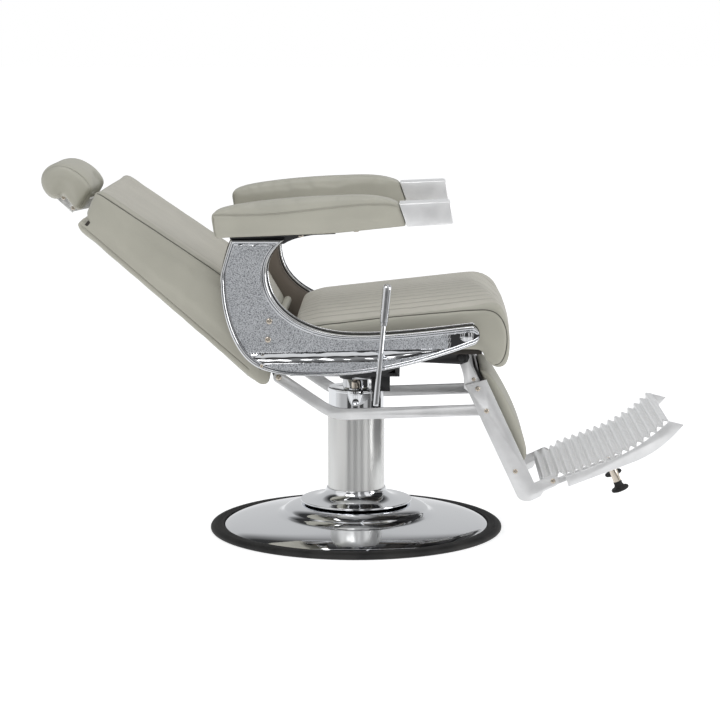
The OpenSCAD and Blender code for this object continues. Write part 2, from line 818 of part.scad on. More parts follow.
rubber_ring();
base_plate();
base_cover();
column_collar();
lower_sleeve();
pump_cylinder();
cylinder_bolts();
swivel_guide();
ram();
upper_sleeve();
top_cap();
mount_flange();
seat_frame();
seat_pan();
seat_cushion();
arm_frame_right_shape();  // arm_frame_right
mirror([0, 1, 0]) arm_frame_right_shape();  // arm_frame_left
panel_right();  // side_panel_right
mirror([0, 1, 0]) panel_right();  // side_panel_left
inlays_right();  // panel_inlays_right
mirror([0, 1, 0]) inlays_right();  // panel_inlays_left
side_pad_right_shape();  // side_pad_right
mirror([0, 1, 0]) side_pad_right_shape();  // side_pad_left
arm_pad_right_shape();  // arm_pad_right
mirror([0, 1, 0]) arm_pad_right_shape();  // arm_pad_left
arm_cap_right_shape();  // arm_cap_right
mirror([0, 1, 0]) arm_cap_right_shape();  // arm_cap_left
trim_screws();
lever_bracket();
back_hinge_bolts();
leg_axle();
back_board();
back_cushion();
back_cover();
back_roll();
back_hinge_plates();
link_brackets();
headrest_guides();
headrest_stem();
headrest_plate();
headrest_cushion();
headrest_screws();
leg_plate();  // leg_plate_right
mirror([0, 1, 0]) leg_plate();  // leg_plate_left
leg_straps();
leg_cross_bars();
calf_board();
calf_cushion();
leg_screws();
link_bar();  // link_bar_right
mirror([0, 1, 0]) link_bar();  // link_bar_left
link_bolts();
footplate_deck();
footplate_flanges();
footplate_ribs();
bumper_posts();
bumper_feet();
lever_bar();
lever_grip();
pump_plunger();
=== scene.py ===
# The looks of a reclining hydraulic barber chair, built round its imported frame, in metres.
import json
import math

import bmesh
import bpy
import numpy as np
from mathutils import Matrix, Vector
from mathutils.bvhtree import BVHTree
from mathutils.kdtree import KDTree

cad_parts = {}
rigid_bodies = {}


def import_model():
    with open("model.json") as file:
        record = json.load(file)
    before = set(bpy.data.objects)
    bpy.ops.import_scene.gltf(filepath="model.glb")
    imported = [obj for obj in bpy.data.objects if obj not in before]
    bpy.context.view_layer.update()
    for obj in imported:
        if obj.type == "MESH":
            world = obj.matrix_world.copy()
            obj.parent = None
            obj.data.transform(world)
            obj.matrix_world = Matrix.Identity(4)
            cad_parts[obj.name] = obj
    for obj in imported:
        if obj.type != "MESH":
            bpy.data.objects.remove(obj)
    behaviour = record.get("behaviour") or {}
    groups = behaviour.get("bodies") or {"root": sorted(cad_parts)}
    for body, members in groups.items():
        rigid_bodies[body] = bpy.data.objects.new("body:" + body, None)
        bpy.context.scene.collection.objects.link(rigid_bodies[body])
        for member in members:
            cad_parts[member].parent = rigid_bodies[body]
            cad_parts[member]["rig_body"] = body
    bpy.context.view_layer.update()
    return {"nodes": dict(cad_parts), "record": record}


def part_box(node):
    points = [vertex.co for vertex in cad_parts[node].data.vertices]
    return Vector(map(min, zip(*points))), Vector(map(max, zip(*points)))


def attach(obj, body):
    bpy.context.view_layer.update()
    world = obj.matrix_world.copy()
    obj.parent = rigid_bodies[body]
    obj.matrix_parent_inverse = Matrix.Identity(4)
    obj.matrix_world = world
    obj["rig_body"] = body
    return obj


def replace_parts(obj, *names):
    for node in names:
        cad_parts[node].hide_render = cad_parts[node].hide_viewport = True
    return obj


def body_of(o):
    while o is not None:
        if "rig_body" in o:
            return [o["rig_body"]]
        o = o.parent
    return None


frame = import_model()
NODES = frame["nodes"]
SLOTS = {part["node"]: part["material_slot"] for part in frame["record"]["subparts"]}
BODY = {node: body for body, members in frame["record"]["behaviour"]["bodies"].items() for node in members}
MM = 0.001
SIDES = (("right", 1), ("left", -1))  # the right side is towards -Y
scene = bpy.context.scene


# ---------- camera ----------


CAMERA_PLACE = (0.1132, -5.3842, 1.1951)
CAMERA_DIP, CAMERA_YAW = 0.14837, 0.01937  # radians below level, and left of straight ahead
CAMERA_LENS = 119.1  # on a 36 mm wide sensor


def make_camera():
    data = bpy.data.cameras.new("camera")
    data.sensor_width = 36.0
    data.lens = CAMERA_LENS
    data.clip_end = 60.0
    camera = bpy.data.objects.new("camera", data)
    scene.collection.objects.link(camera)
    camera.location = CAMERA_PLACE
    camera.rotation_euler = (math.pi / 2 - CAMERA_DIP, 0.0, CAMERA_YAW)
    scene.camera = camera


# ---------- materials ----------


def new_material(name, rgb, metallic=0.0, roughness=0.5, **sockets):
    m = bpy.data.materials.new(name)
    m.use_nodes = True
    shader = m.node_tree.nodes["Principled BSDF"]
    shader.inputs["Base Color"].default_value = (*rgb, 1.0)
    shader.inputs["Metallic"].default_value = metallic
    shader.inputs["Roughness"].default_value = roughness
    for socket, value in sockets.items():
        shader.inputs[socket.replace("_", " ")].default_value = value
    return m


def texture(m, kind, scale, stretch=(1, 1, 1), **settings):
    """A texture node on the object's own coordinates; scale counts per metre."""
    tree = m.node_tree
    place = tree.nodes.new("ShaderNodeTexCoord")
    turn = tree.nodes.new("ShaderNodeMapping")
    turn.inputs["Scale"].default_value = stretch
    tex = tree.nodes.new(kind)
    tex.inputs["Scale"].default_value = scale
    for key, value in settings.items():
        if key in tex.inputs:
            tex.inputs[key].default_value = value
        else:
            setattr(tex, key, value)
    tree.links.new(place.outputs["Object"], turn.inputs["Vector"])
    tree.links.new(turn.outputs["Vector"], tex.inputs["Vector"])
    return tex.outputs["Distance"] if "Distance" in tex.outputs else tex.outputs["Fac"]


def spread(m, value, low, high, socket):
    """Maps a texture to a range of numbers and drives one shader socket with it."""
    tree = m.node_tree
    node = tree.nodes.new("ShaderNodeMapRange")
    node.inputs["To Min"].default_value = low
    node.inputs["To Max"].default_value = high
    tree.links.new(value, node.inputs["Value"])
    tree.links.new(node.outputs["Result"], tree.nodes["Principled BSDF"].inputs[socket])


def colour_ramp(tree, value, stops):
    """A colour for a value from 0 to 1: stops are (position, rgb)."""
    ramp = tree.nodes.new("ShaderNodeValToRGB")
    points = ramp.color_ramp.elements
    while len(points) < len(stops):
        points.new(0.5)
    for point, (position, rgb) in zip(points, stops):
        point.position = position
        point.color = (*rgb, 1.0)
    tree.links.new(value, ramp.inputs["Fac"])
    return ramp.outputs["Color"]


def tint(m, value, stops):
    """Colours a material by a texture: stops are (position, rgb)."""
    tree = m.node_tree
    colour = colour_ramp(tree, value, stops)
    tree.links.new(colour, tree.nodes["Principled BSDF"].inputs["Base Color"])
    return colour


def bump(m, value, height, strength):
    """Adds a bump, in metres, on top of the bumps that the material has."""
    tree = m.node_tree
    shader = tree.nodes["Principled BSDF"]
    node = tree.nodes.new("ShaderNodeBump")
    node.inputs["Strength"].default_value = strength
    node.inputs["Distance"].default_value = height
    tree.links.new(value, node.inputs["Height"])
    if shader.inputs["Normal"].is_linked:
        tree.links.new(shader.inputs["Normal"].links[0].from_socket, node.inputs["Normal"])
    tree.links.new(node.outputs["Normal"], shader.inputs["Normal"])


def shade(rgb, factor):
    return tuple(min(1.0, c * factor) for c in rgb)


RIB_PITCH = 0.02  # metres from one sewn line to the next
STITCH_WIDTH = 0.0022
# how dark the painted shade in each sewn crease is
CREASE_PAINTED_SHADE = 0.68


def rib_lines(m, rgb, colour):
    """Sinks a narrow line along each sewn line between the ribs, and darkens it with painted shade in the
    crease.
    """
    tree = m.node_tree
    place = tree.nodes.new("ShaderNodeTexCoord")
    split = tree.nodes.new("ShaderNodeSeparateXYZ")
    fold_y = tree.nodes.new("ShaderNodeMath")
    fold_y.operation = "PINGPONG"
    fold_y.inputs[1].default_value = RIB_PITCH / 2
    tree.links.new(place.outputs["Object"], split.inputs["Vector"])
    tree.links.new(split.outputs["Y"], fold_y.inputs[0])
    wide = tree.nodes.new("ShaderNodeMapRange")
    wide.inputs["From Max"].default_value = STITCH_WIDTH
    tree.links.new(fold_y.outputs["Value"], wide.inputs["Value"])
    bump(m, wide.outputs["Result"], 0.0012, 0.8)
    # painted shade: the leather is coloured darker along each sewn crease
    line = tree.nodes.new("ShaderNodeMix")
    line.data_type = "RGBA"
    line.inputs[6].default_value = (*shade(rgb, CREASE_PAINTED_SHADE), 1.0)
    tree.links.new(wide.outputs["Result"], line.inputs[0])
    tree.links.new(colour, line.inputs[7])
    tree.links.new(line.outputs[2], tree.nodes["Principled BSDF"].inputs["Base Color"])


def leather(name, rgb, ribbed=False):
    """Leather with a fine grain, soft folds and a slow change of colour."""
    m = new_material(name, rgb, roughness=0.5, Specular_IOR_Level=0.42, Sheen_Weight=0.06)
    cloud = texture(m, "ShaderNodeTexNoise", 9.0, Detail=4.0)
    colour = tint(m, cloud, [(0.3, shade(rgb, 0.94)), (0.7, shade(rgb, 1.05))])
    grain = texture(m, "ShaderNodeTexVoronoi", 620.0, feature="F1")
    bump(m, grain, 0.00022, 0.55)
    fold = texture(m, "ShaderNodeTexNoise", 55.0, Detail=6.0)
    bump(m, fold, 0.0009, 0.35)
    spread(m, texture(m, "ShaderNodeTexNoise", 180.0, Detail=3.0), 0.42, 0.58, "Roughness")
    if ribbed:
        rib_lines(m, rgb, colour)
    return m


def polished(name, rgb, low=0.02, high=0.09):
    """Plated metal: near mirror, with faint smears."""
    m = new_material(name, rgb, metallic=1.0, roughness=low)
    spread(m, texture(m, "ShaderNodeTexNoise", 14.0, Detail=5.0), low, high, "Roughness")
    bump(m, texture(m, "ShaderNodeTexNoise", 9.0, Detail=2.0), 0.0006, 0.06)
    return m


def brushed(name, rgb, stretch, roughness=(0.24, 0.42), metallic=1.0):
    """Satin metal: its brush lines run where stretch is smallest."""
    m = new_material(name, rgb, metallic=metallic, roughness=roughness[0])
    hair = texture(m, "ShaderNodeTexNoise", 60.0, stretch, Detail=6.0)
    spread(m, hair, *roughness, "Roughness")
    tint(m, texture(m, "ShaderNodeTexNoise", 22.0, stretch, Detail=4.0),
         [(0.3, shade(rgb, 0.9)), (0.7, shade(rgb, 1.06))])
    bump(m, hair, 0.0001, 0.3)
    return m


def painted(name, rgb, roughness=0.38):
    """Enamel over steel, with a slight orange peel."""
    m = new_material(name, rgb, roughness=roughness, Coat_Weight=0.15)
    uneven = texture(m, "ShaderNodeTexNoise", 40.0, Detail=5.0)
    spread(m, uneven, roughness - 0.08, roughness + 0.12, "Roughness")
    bump(m, texture(m, "ShaderNodeTexNoise", 420.0, Detail=2.0), 0.0001, 0.4)
    return m


def pebbled(name):
    """Cast stipple: bright rounded grains with dark pits between them."""
    m = new_material(name, (0.5, 0.51, 0.53), metallic=0.7, roughness=0.42)
    cell = texture(m, "ShaderNodeTexVoronoi", 470.0, feature="F1", Randomness=0.8)
    tint(m, cell, [(0.15, (0.8, 0.815, 0.84)), (0.5, (0.56, 0.575, 0.6)), (0.8, (0.2, 0.21, 0.23))])
    bump(m, cell, -0.0004, 0.6)
    spread(m, texture(m, "ShaderNodeTexNoise", 30.0, Detail=3.0), 0.32, 0.52, "Roughness")
    return m


def rubber(name):
    """Black rubber with a little dust."""
    m = new_material(name, (0.018, 0.017, 0.017), roughness=0.62, Specular_IOR_Level=0.35)
    dust = texture(m, "ShaderNodeTexNoise", 16.0, Detail=8.0)
    tint(m, dust, [(0.35, (0.012, 0.012, 0.012)), (0.8, (0.04, 0.038, 0.036))])
    bump(m, texture(m, "ShaderNodeTexNoise", 500.0, Detail=3.0), 0.0002, 0.5)
    spread(m, dust, 0.5, 0.78, "Roughness")
    return m


def plywood(name):
    """Plywood sealed with a thin black stain, its grain just showing."""
    m = new_material(name, (0.03, 0.026, 0.022), roughness=0.6)
    grain = texture(m, "ShaderNodeTexNoise", 12.0, (1, 14, 14), Detail=8.0)
    tint(m, grain, [(0.3, (0.018, 0.016, 0.014)), (0.7, (0.045, 0.036, 0.028))])
    bump(m, grain, 0.0005, 0.4)
    return m


GREIGE = (0.372, 0.362, 0.305)
TAUPE = (0.15, 0.125, 0.1)
MAT = {
    "upholstery": leather("leather_greige", GREIGE),
    # the ribbed top: real ribs, in a lighter copy of the greige leather that is painted light where it faces
    # up
    "ribbed": leather("leather_ribbed", (0.43, 0.413, 0.358), ribbed=True),
    "taupe": leather("leather_taupe", TAUPE),
    "piping": leather("leather_piping", shade(GREIGE, 0.8)),
    # a dark leather bead laid in the seat and back seams as painted shadow
    "painted_seam_shadow": leather("seam_shadow", shade(GREIGE, 0.28)),
    "chrome": polished("chrome", (0.86, 0.87, 0.89)),
    "satin": brushed("satin_aluminium", (0.92, 0.92, 0.92), (1, 14, 1), metallic=0.62),
    "satin_steel": brushed("satin_sleeve", (0.88, 0.88, 0.865), (1, 1, 0.05), (0.2, 0.28), metallic=0.6),
    "nickel": polished("nickel", (0.78, 0.7, 0.6), 0.1, 0.2),
    "black_steel": painted("black_steel", (0.012, 0.012, 0.013)),
    "iron": painted("cast_iron", (0.05, 0.05, 0.052), 0.55),
    "bronze": brushed("bronze", (0.6, 0.42, 0.2), (1, 1, 8)),
    "board": plywood("plywood"),
    "rubber": rubber("rubber"),
    "etched": pebbled("stipple"),
}


# ---------- mesh helpers ----------


def link(name, mesh, materials, body):
    """A new piece in the scene, with its finish and the body that it rides on."""
    o = bpy.data.objects.new(name, mesh)
    scene.collection.objects.link(o)
    for key in materials:
        mesh.materials.append(MAT[key])
    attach(o, body)
    return o


def soften(mesh, angle=32):
    mesh.shade_smooth()
    mesh.set_sharp_from_angle(angle=math.radians(angle))


def mesh_of(name, verts, faces, angle=32):
    """A clean mesh whose edges sharper than angle stay crisp."""
    mesh = bpy.data.meshes.new(name)
    mesh.from_pydata([tuple(v) for v in verts], [], faces)
    bm = bmesh.new()
    bm.from_mesh(mesh)
    bmesh.ops.remove_doubles(bm, verts=bm.verts, dist=1e-6)
    bmesh.ops.recalc_face_normals(bm, faces=bm.faces)
    bm.to_mesh(mesh)
    bm.free()
    soften(mesh, angle)
    return mesh


def joined(nodes, widened=(), by=1.0):
    """One mesh of several CAD solids; the widened ones are stretched across the chair."""
    bm = bmesh.new()
    for node in widened:
        bm.from_mesh(NODES[node].data)
    for v in bm.verts:
        v.co.y *= by
    for node in nodes:
        bm.from_mesh(NODES[node].data)
    bmesh.ops.remove_doubles(bm, verts=bm.verts, dist=1e-6)
    return bm


def refined(node, width, key=None):
    """A CAD part with its edges eased by a small bevel, so that they catch the light."""
    bm = joined([node])
    bmesh.ops.dissolve_limit(bm, angle_limit=math.radians(0.4), verts=bm.verts, edges=bm.edges)
    sharp = [e for e in bm.edges if e.is_manifold and e.calc_face_angle(0.0) > math.radians(30)]
    bmesh.ops.bevel(bm, geom=sharp, offset=width * MM, offset_type="OFFSET", segments=2,
                    profile=0.5, affect="EDGES", clamp_overlap=True)
    mesh = bpy.data.meshes.new(node + "_look")
    bm.to_mesh(mesh)
    bm.free()
    soften(mesh)
    o = link(node + "_look", mesh, [key or SLOTS[node]], BODY[node])
    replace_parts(o, node)
    return o


def curve(a, b, c, d, n=24):
    """Points on a cubic from a to d, without d; a, b, c and d are (x, z) pairs."""
    a, b, c, d = (np.array(p, float) for p in (a, b, c, d))
    t = (np.arange(n) / n)[:, None]
    s = 1 - t
    return list(s ** 3 * a + 3 * s * s * t * b + 3 * s * t * t * c + t ** 3 * d)


def revolved(name, profile, node, seg=160, centre=(0, 0), angle=32):
    """A turned part: profile is a closed loop of (radius, z) in millimetres."""
    verts, faces = [], []
    n = len(profile)
    middle = Vector((*centre, 0))
    for i in range(seg):
        a = 2 * math.pi * i / seg
        j = (i + 1) % seg
        for k, (r, z) in enumerate(profile):
            m = (k + 1) % n
            verts.append(Vector((r * math.cos(a), r * math.sin(a), z)) * MM + middle)
            faces.append((i * n + k, j * n + k, j * n + m, i * n + m))
    return link(name, mesh_of(name, verts, faces, angle), [SLOTS[node]], BODY[node])


def resample(points, step):
    """The same path with points a step apart, in metres."""
    points = [Vector(p) for p in points]
    out = [points[0]]
    for a, b in zip(points, points[1:]):
        n = max(1, round((b - a).length / step))
        out += [a.lerp(b, (i + 1) / n) for i in range(n)]
    return out


def tube(name, points, radius, key, body, sides=8):
    """A round bead along a path, drawn in at its two ends."""
    n = len(points)
    verts, faces = [], []
    for i, p in enumerate(points):
        ahead = (points[min(i + 1, n - 1)] - points[max(i - 1, 0)]).normalized()
        side = ahead.cross(Vector((0, 1, 0)))
        if side.length < 0.2:
            side = ahead.cross(Vector((0, 0, 1)))
        side.normalize()
        top = side.cross(ahead).normalized()
        end = 0.35 if i in (0, n - 1) else 1.0
        for k in range(sides):
            a = 2 * math.pi * k / sides
            verts.append(p + radius * end * (math.cos(a) * side + math.sin(a) * top))
    for i in range(n - 1):
        for k in range(sides):
            m = (k + 1) % sides
            faces.append(tuple(i * sides + q for q in (k, k + sides, m + sides, m)))
    faces.append(tuple(range(sides)))
    faces.append(tuple((n - 1) * sides + k for k in range(sides)))
    return link(name, mesh_of(name, verts, faces, 60), [key], body)


# ---------- soft pieces ----------


def per_vertex(mesh, attribute):
    values = np.empty(len(mesh.vertices) * 3)
    mesh.vertices.foreach_get(attribute, values)
    return values.reshape(-1, 3)


def coordinates(mesh):
    return per_vertex(mesh, "co")


def normals(mesh):
    return per_vertex(mesh, "normal")


def move_to(mesh, co):
    mesh.vertices.foreach_set("co", np.ascontiguousarray(co).ravel())
    mesh.update()


def bake(o):
    """Applies the object's modifiers."""
    graph = bpy.context.evaluated_depsgraph_get()
    mesh = bpy.data.meshes.new_from_object(o.evaluated_get(graph))
    o.modifiers.clear()
    o.data = mesh


def relax(mesh, rounds):
    """Rounds a surface by moving each vertex halfway towards its neighbours."""
    edges = np.empty(len(mesh.edges) * 2, int)
    mesh.edges.foreach_get("vertices", edges)
    a, b = edges.reshape(-1, 2).T
    co = coordinates(mesh)
    count = np.bincount(a, minlength=len(co)) + np.bincount(b, minlength=len(co))
    for _ in range(rounds):
        total = np.zeros_like(co)
        np.add.at(total, a, co[b])
        np.add.at(total, b, co[a])
        co = co + 0.5 * (total / count[:, None] - co)
    move_to(mesh, co)


FRAMES = 20
PRESSURE = 4.0


def puff(o, cap, keep=None):
    """Swells a pad like stuffing under its cover, no point further than cap.
    keep(points) is each point's share of that, from 0 to 1."""
    rest = coordinates(o.data)
    cloth = o.modifiers.new("cloth", "CLOTH")
    cloth.settings.use_pressure = True
    cloth.settings.uniform_pressure_force = PRESSURE
    cloth.settings.effector_weights.gravity = 0.0
    cloth.point_cache.frame_start = 1
    cloth.point_cache.frame_end = FRAMES
    for f in range(1, FRAMES + 1):
        scene.frame_set(f)
    graph = bpy.context.evaluated_depsgraph_get()
    swollen = coordinates(o.evaluated_get(graph).data)
    o.modifiers.clear()
    scene.frame_set(1)
    step = swollen - rest
    length = np.linalg.norm(step, axis=1)[:, None]
    step *= np.minimum(1.0, cap / np.maximum(length, 1e-9))
    if keep is not None:
        step *= keep(rest)[:, None]
    move_to(o.data, rest + step)


FILL_OUT = 1.0155  # carries the back board out to the sides of its cushion, so that no groove is left


def pad(name, nodes, voxel, keys=("upholstery",), rounds=4, cap=0.008, keep=None,
        shrink=0.0, inside=(), shape=None):
    """A stuffed piece in place of CAD solids: remeshed, swollen by simulation, then subdivided."""
    bm = joined(nodes, inside, FILL_OUT)
    mesh = bpy.data.meshes.new(name)
    bm.to_mesh(mesh)
    bm.free()
    o = link(name, mesh, keys, BODY[nodes[0]])
    remesh = o.modifiers.new("remesh", "REMESH")
    remesh.mode = "VOXEL"
    remesh.voxel_size = voxel
    bake(o)
    if shrink:
        move_to(o.data, coordinates(o.data) - shrink * normals(o.data))
    if shape is not None:
        move_to(o.data, shape(coordinates(o.data)))
    relax(o.data, rounds)
    puff(o, cap, keep)
    relax(o.data, 2)
    o.modifiers.new("fine", "SUBSURF").levels = 1
    bake(o)
    o.data.shade_smooth()
    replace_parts(o, *nodes)
    return o


def press(o, paths, depth, width):
    """Presses a soft valley into the surface along paths, where a seam pulls it in."""
    points = [p for path in paths for p in resample(path, 0.002)]
    tree = KDTree(len(points))
    for i, p in enumerate(points):
        tree.insert(p, i)
    tree.balance()
    co, n = coordinates(o.data), normals(o.data)
    drop = np.zeros(len(co))
    for i, c in enumerate(co):
        distance = tree.find(c)[2]
        if distance < 3 * width:
            drop[i] = depth * math.exp(-(distance / width) ** 2)
    move_to(o.data, co - drop[:, None] * n)


def snapped(o, path, step=0.006, lift=0.0):
    """The path laid on the piece's surface."""
    tree = BVHTree.FromPolygons([v.co for v in o.data.vertices], [p.vertices for p in o.data.polygons])
    out = []
    for p in resample(path, step):
        spot, normal, _, _ = tree.find_nearest(p)
        out.append(spot + lift * normal)
    return smooth_path(out)


def smooth_path(pts):
    for _ in range(3):
        pts = [pts[0]] + [(a + 2 * b + c) / 4 for a, b, c in zip(pts, pts[1:], pts[2:])] + [pts[-1]]
    return pts


def piping(name, o, paths, radius, depth, width, key="piping"):
    """Seams: each path is pressed in and gets a welt along it."""
    paths = [snapped(o, path) for path in paths]
    press(o, paths, depth, width)
    for i, path in enumerate(paths):
        lying = snapped(o, path, lift=radius * 0.4)
        tube(f"{name}_{i + 1}", lying, radius, key, body_of(o)[0])


def rib(o, depth, test, reach):
    """Sewn channels in the second material, where test(centre, normal) is true; they fade out at reach."""
    mesh = o.data
    marked = np.zeros(len(mesh.vertices))
    for face in mesh.polygons:
        if test(face.center, face.normal):
            for v in face.vertices:
                marked[v] = 1.0
    co, n = coordinates(mesh), normals(mesh)
    phase = np.abs(np.sin(np.pi * co[:, 1] / RIB_PITCH))
    fade = np.clip((reach - np.abs(co[:, 1])) / 0.02, 0, 1)
    drop = depth * (1 - phase ** 0.6) * marked * fade
    move_to(mesh, co - drop[:, None] * n)
    # the second material is the lighter copy of the leather, painted light on these faces
    for face in mesh.polygons:
        if test(face.center, face.normal):
            face.material_index = 1


# ---------- base and column ----------


RING_BORE, COLLAR_BORE = 299, 65.3
PLUNGER_REACH = 23.5  # from the plunger's top down to the top cap


def rubber_ring(r, high, cover_r):
    profile = [(RING_BORE, 0), (r - 4, 0)] + curve((r - 4, 0), (r, 1.5), (r, 4), (r, 6), 10)
    profile += curve((r, 6), (r, 10), (r - 5, high - 0.6), (r - 14, high), 16)
    # three fine mould lines on the top of the ring
    for k in range(3):
        at = r - 15 - 3.5 * k
        profile += [(at, high), (at - 0.5, high - 0.7), (at - 1.0, high)]
    profile += [(cover_r + 2.6, high - 0.8), (cover_r + 1.4, high - 1.8), (cover_r + 0.6, high - 6),
                (RING_BORE, high - 6)]
    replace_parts(revolved("rubber_ring_look", profile, "rubber_ring", 200), "rubber_ring")


def base_cover(cover_r, edge):
    """The stepped dome, from its rim to the foot of the collar, and back along its underside."""
    line = [(cover_r - 1.5, edge - 1.2), (cover_r, edge - 0.6), (cover_r, edge + 0.3)]
    line += curve((cover_r, edge + 0.4), (287, 24), (236, 29.5), (188, 35.4), 40)
    line += curve((188, 35.4), (177, 37), (171, 40), (166, 47), 24)
    line += curve((166, 47), (156, 60), (118, 62.6), (66, 63.2), 40) + [(66, 63.2), (66, 61.2)]
    line += list(reversed(curve((165, 44), (150, 55), (112, 60), (66, 61.2), 20)))
    line += [(186, 34), (236, 27.5), (283, 20), (cover_r - 1.5, edge - 1.6)]
    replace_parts(revolved("base_cover_look", line, "base_cover", 240, angle=60), "base_cover")


def column_collar():
    line = [(COLLAR_BORE, 64), (121, 64)] + curve((121, 64), (127.4, 63.8), (129, 66), (127.2, 69), 16)
    line += curve((127.2, 69), (100, 71), (72, 73), (68, 96), 48)
    line += [(68, 96), (67.2, 97), (COLLAR_BORE, 97)]
    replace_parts(revolved("collar_look", line, "column_collar", 200, angle=60), "column_collar")


def base_parts():
    ring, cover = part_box("rubber_ring")[1] / MM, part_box("base_cover")[1] / MM
    rubber_ring(ring.x, ring.z, cover.x)
    base_cover(cover.x, ring.z - 3.6)
    column_collar()

    r, _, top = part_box("lower_sleeve")[1] / MM
    profile = [(r, 60), (r, top - 1.2), (r - 0.4, top), (r - 1.4, top), (r - 1.4, 60)]
    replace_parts(revolved("lower_sleeve_look", profile, "lower_sleeve", 160), "lower_sleeve")

    cap_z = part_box("pump_plunger")[1].z / MM - PLUNGER_REACH
    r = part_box("upper_sleeve")[1].x / MM
    profile = [(r, 200), (r, cap_z - 8), (r - 2, cap_z - 8), (r - 2, 80), (r, 80)]
    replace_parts(revolved("upper_sleeve_look", profile, "upper_sleeve", 160), "upper_sleeve")
    # the cast boss in front of the sleeve, under the pump's plunger
    low, high = cap_z - 33, cap_z - 8.2
    boss = [(0, low), (8.4, low)] + curve((8.4, low), (10, low + 1), (17, low + 19), (18.5, high), 16)
    boss += [(18.5, high), (0, high)]
    revolved("pump_boss", boss, "upper_sleeve", 64, centre=(0, -r * MM))


LEVER_FOOT = Vector((50, -335, 347)) * MM
LEVER_LEAN = math.atan2(24, 256)


def lever_parts():
    """The turned grip, made upright and then leant over with its lever."""
    turn = Matrix.Rotation(LEVER_LEAN, 3, "Y")
    profile = [(4.3, 168.4), (7.5, 168.4), (8.2, 169.2), (8.2, 172), (7.4, 173), (7.4, 175), (9.2, 177)]
    profile += curve((9.2, 177), (9.8, 190), (10, 220), (10, 246), 16)
    profile += curve((10, 246), (10, 253.5), (7, 258.3), (0.01, 258.6), 16)
    profile += [(0.01, 238), (4.3, 238)]
    grip = revolved("lever_grip_look", profile, "lever_grip", 48)
    for v in grip.data.vertices:
        v.co = turn @ v.co + LEVER_FOOT
    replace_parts(grip, "lever_grip")
    refined("lever_bar", 0.3)


# ---------- side panels ----------

# the panel's outline in side view, as two chains of cubics from its top to its nose
OUTER = [((-261, 697), (-268, 680), (-280, 640), (-284, 622)),
         ((-284, 622), (-285, 612), (-285, 608), (-284, 600)),
         ((-284, 600), (-284, 540), (-262, 465), (-225, 433)),
         ((-225, 433), (-200, 410), (-160, 404), (-120, 402)),
         ((-120, 402), (40, 396), (150, 430), (262, 471)),
         ((262, 471), (268.5, 474.8), (271.8, 483.5), (271.4, 491.8))]
INNER = [((-147, 696), (-170, 678), (-190, 652), (-186, 615)),
         ((-186, 615), (-180, 540), (-100, 491), (0, 490)),
         ((0, 490), (80, 488), (180, 502), (258, 511)),
         ((258, 511), (266.5, 507.5), (270.9, 500), (271.4, 491.8))]
PANEL_TOP = 696.6
PANEL_ROWS, FIELD_COLUMNS = 230, 46
NARROW = 34  # where the panel is narrower than this, its rims shrink with it
FIELD_FROM = 13.0
EDGES = [0, 0.8, 2, 3.2, 4.5, 5.8, 7, 8.2, 9, 9.8, 10.6, 11.4, 12.2, FIELD_FROM]
FIELD_HEIGHT = 3.4
RIM_HEIGHT = 6.8


def along(segments):
    """Points evenly along a chain of cubics, closer together over the first stretch."""
    dense = np.arange(0, 16, 1.0)
    pts = [p for s in segments for p in curve(*s, 60)] + [np.array(segments[-1][3], float)]
    pts = np.array(pts)
    run = np.concatenate([[0], np.cumsum(np.linalg.norm(np.diff(pts, axis=0), axis=1))])
    at = np.concatenate([dense, np.linspace(dense[-1], run[-1], PANEL_ROWS)[1:]])
    return np.array([[np.interp(a, run, pts[:, 0]), np.interp(a, run, pts[:, 1])] for a in at])


def relief(d):
    """Height of the polished double rim at a distance d from the panel's edge."""
    if d < 8.2:
        return 2.2 + 4.6 * math.sqrt(max(0.0, 1 - ((d - 4.1) / 4.1) ** 2))
    if d < 9.4:
        return 1.6
    if d < 12.2:
        return 1.6 + 2.4 * math.sqrt(max(0.0, 1 - ((d - 10.8) / 1.4) ** 2))
    return FIELD_HEIGHT


def cove_top(x):
    """Where the stippled field ends and the polished cove begins."""
    return 449 + (x + 300) / 506 * 14


def cove_foot(x):
    """Where the cove ends and the stippled strip under it begins."""
    return 428 + (x + 188) / 378 * 8 + max(0.0, x - 60) * 0.14


PANEL_FRONT = 206.0
STRIP_BACK, STRIP_FRONT = -186.0, 188.0


def panel_zone(x, z, d):
    """Which surface a point of the panel belongs to: rim, field, cove, strip or nose."""
    if d < FIELD_FROM - 0.6:
        return "rim"
    if x > PANEL_FRONT:
        return "nose"
    if z > cove_top(x):
        return "field"
    if z > cove_foot(x) or not STRIP_BACK < x < STRIP_FRONT:
        return "cove"
    return "strip"


def min_edge(x, z):
    """Distance of a point from the panel's outer and inner edges."""
    return min(math.hypot(x - p[0], z - p[1]) for s in OUTER + INNER for p in curve(*s, 16))


def panel_height(x, z, d):
    """How far a point stands proud of the panel's ground."""
    zone = panel_zone(x, z, d)
    if zone == "rim":
        return relief(d)
    if zone in ("field", "strip"):
        return FIELD_HEIGHT
    if zone == "nose":
        boss = math.hypot(x - 245, z - 491)
        return 2.4 + (2.6 * math.sqrt(max(0.0, 1 - (boss / 12) ** 2)) if boss < 12 else 0.0)
    depth = cove_top(x) - cove_foot(x)
    t = min(1.0, max(0.0, (z - cove_foot(x)) / depth))
    facet = 0.55 * math.sin(x / 19.0) + 0.35 * math.sin(x / 7.3 + z / 9.0)
    return FIELD_HEIGHT - (7.0 + facet) * math.sin(math.pi * t) ** 0.8


